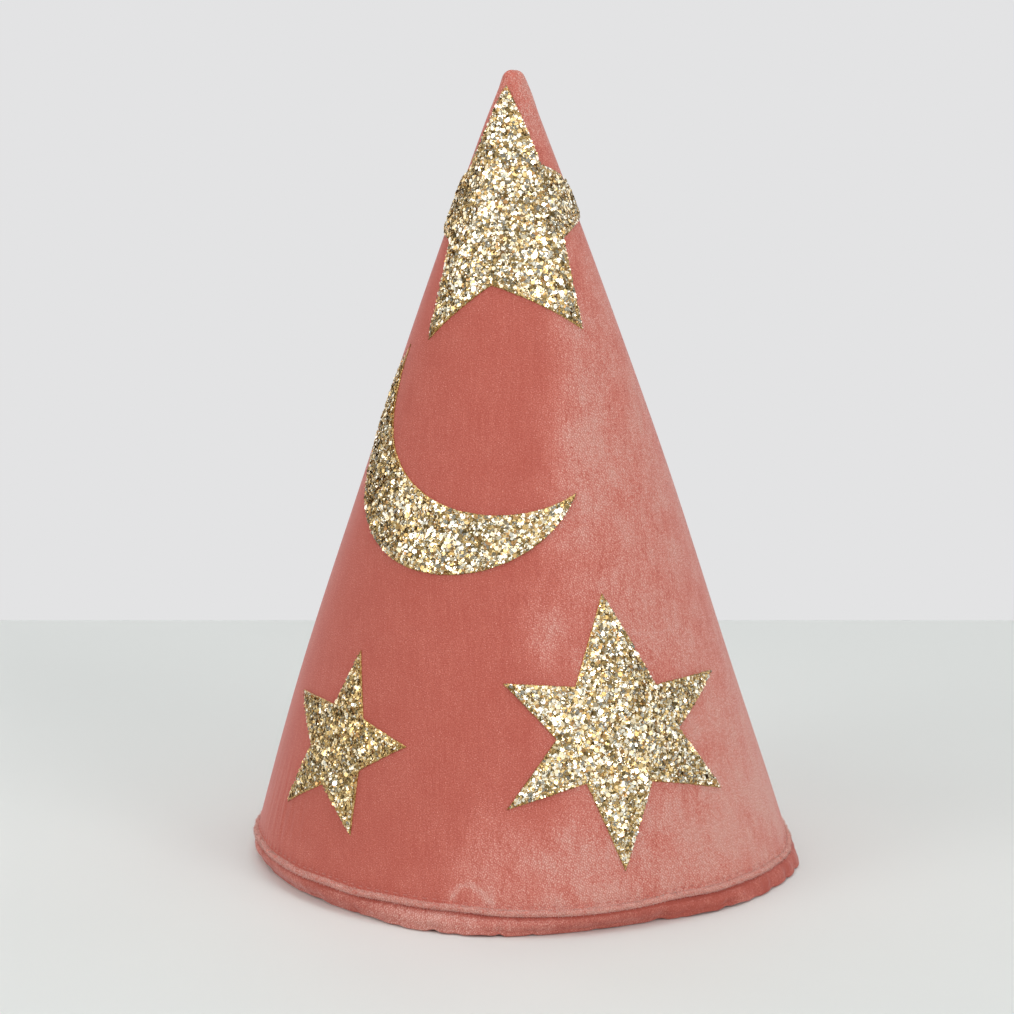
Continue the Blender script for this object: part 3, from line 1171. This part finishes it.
# ----------------------------------------------------------------------------
# Floor, lights, camera
m, nt, bsdf = new_material("stage_floor")
h = N(nt)
tc = h.node("ShaderNodeTexCoord").outputs["Object"]
h.put(bsdf.inputs["Base Color"], h.mix(h.noise(tc, 6.0, 2.0), (0.825, 0.85, 0.822, 1), (0.849, 0.875, 0.847, 1)))
bsdf.inputs["Roughness"].default_value = 0.55
bsdf.inputs["Specular IOR Level"].default_value = 0.3
fy = 0.342
edge_r = 0.006
fv, ff = [], []
prof_floor = [(-4.0, 0.0), (-1.0, 0.0), (0.0, 0.0), (fy - edge_r, 0.0)]
prof_floor += [(fy - edge_r + edge_r * math.sin(a), -edge_r * (1 - math.cos(a))) for a in np.linspace(0.15, math.pi / 2, 8)]
for y, z in prof_floor:
    fv += [(-4.0, y, z), (4.0, y, z)]
for k in range(len(prof_floor) - 1):
    ff.append((2 * k, 2 * k + 1, 2 * k + 3, 2 * k + 2))
floor = mesh_object("stage_floor", fv, ff, True, [m])


def softbox(name, loc, target, size, power, colour=(1, 1, 1)):
    li = bpy.data.lights.new(name, "AREA")
    li.shape = "RECTANGLE"
    li.size, li.size_y = size
    li.energy = power
    li.color = colour
    ob = bpy.data.objects.new(name, li)
    ob.location = loc
    ob.rotation_mode = "QUATERNION"
    ob.rotation_quaternion = (Vector(target) - Vector(loc)).to_track_quat("-Z", "Y")
    ob.visible_camera = False
    scene.collection.objects.link(ob)
    return ob


softbox("key_right", (0.95, -1.15, 0.85), (0, 0, 0.13), (0.5, 0.5), 5.2)
softbox("fill_left", (-1.15, -0.75, 0.75), (0, 0, 0.13), (0.6, 0.6), 3.7)
softbox("rim_left", (-0.85, 0.95, 0.75), (0, 0, 0.12), (0.7, 0.7), 1.9)
softbox("rim_right", (0.95, 0.85, 0.70), (0, 0, 0.12), (0.7, 0.7), 1.9)
softbox("top", (0.0, -0.15, 1.35), (0, 0, 0.0), (1.0, 1.0), 4.2)

world = bpy.data.worlds.new("studio")
scene.world = world
world.use_nodes = True
wt = world.node_tree
wt.nodes.clear()
wo = wt.nodes.new("ShaderNodeOutputWorld")
mixw = wt.nodes.new("ShaderNodeMixShader")
lp = wt.nodes.new("ShaderNodeLightPath")
b_cam = wt.nodes.new("ShaderNodeBackground")
b_env = wt.nodes.new("ShaderNodeBackground")
b_cam.inputs[0].default_value = srgb(227, 227, 228)
b_env.inputs[0].default_value = (0.97, 0.98, 1.0, 1.0)
wn = N(wt)
wdir = wn.node("ShaderNodeTexCoord").outputs["Generated"]
panels = wn.ramp(wn.noise(wdir, 2.6, 1.0, 0.5), (0.49, 0.58, 0.085, 1.07))
wsep = wn.node("ShaderNodeSeparateXYZ")
wn.put(wsep.inputs[0], wdir)
strength = wn.math("MULTIPLY", panels, wn.ramp(wsep.outputs[2], (-0.1, 0.9, 0.75, 1.35)))
mirror = wn.math("ADD", 1.0, wn.math("MULTIPLY", lp.outputs["Is Glossy Ray"], 0.42))
wn.put(b_env.inputs[1], wn.math("MULTIPLY", strength, mirror))
wt.links.new(lp.outputs["Is Camera Ray"], mixw.inputs[0])
wt.links.new(b_env.outputs[0], mixw.inputs[1])
wt.links.new(b_cam.outputs[0], mixw.inputs[2])
wt.links.new(mixw.outputs[0], wo.inputs[0])

cam_data = bpy.data.cameras.new("camera")
cam_data.lens = 3248.9 / 1014.0 * 36.0
cam_data.sensor_width = 36.0
cam_data.clip_start, cam_data.clip_end = 0.05, 50.0
cam = bpy.data.objects.new("camera", cam_data)
cam.location = (-0.0044, -1.07735, 0.34329)
cam.rotation_euler = (math.radians(90 - 11.6462), 0, 0)
scene.collection.objects.link(cam)
scene.camera = cam
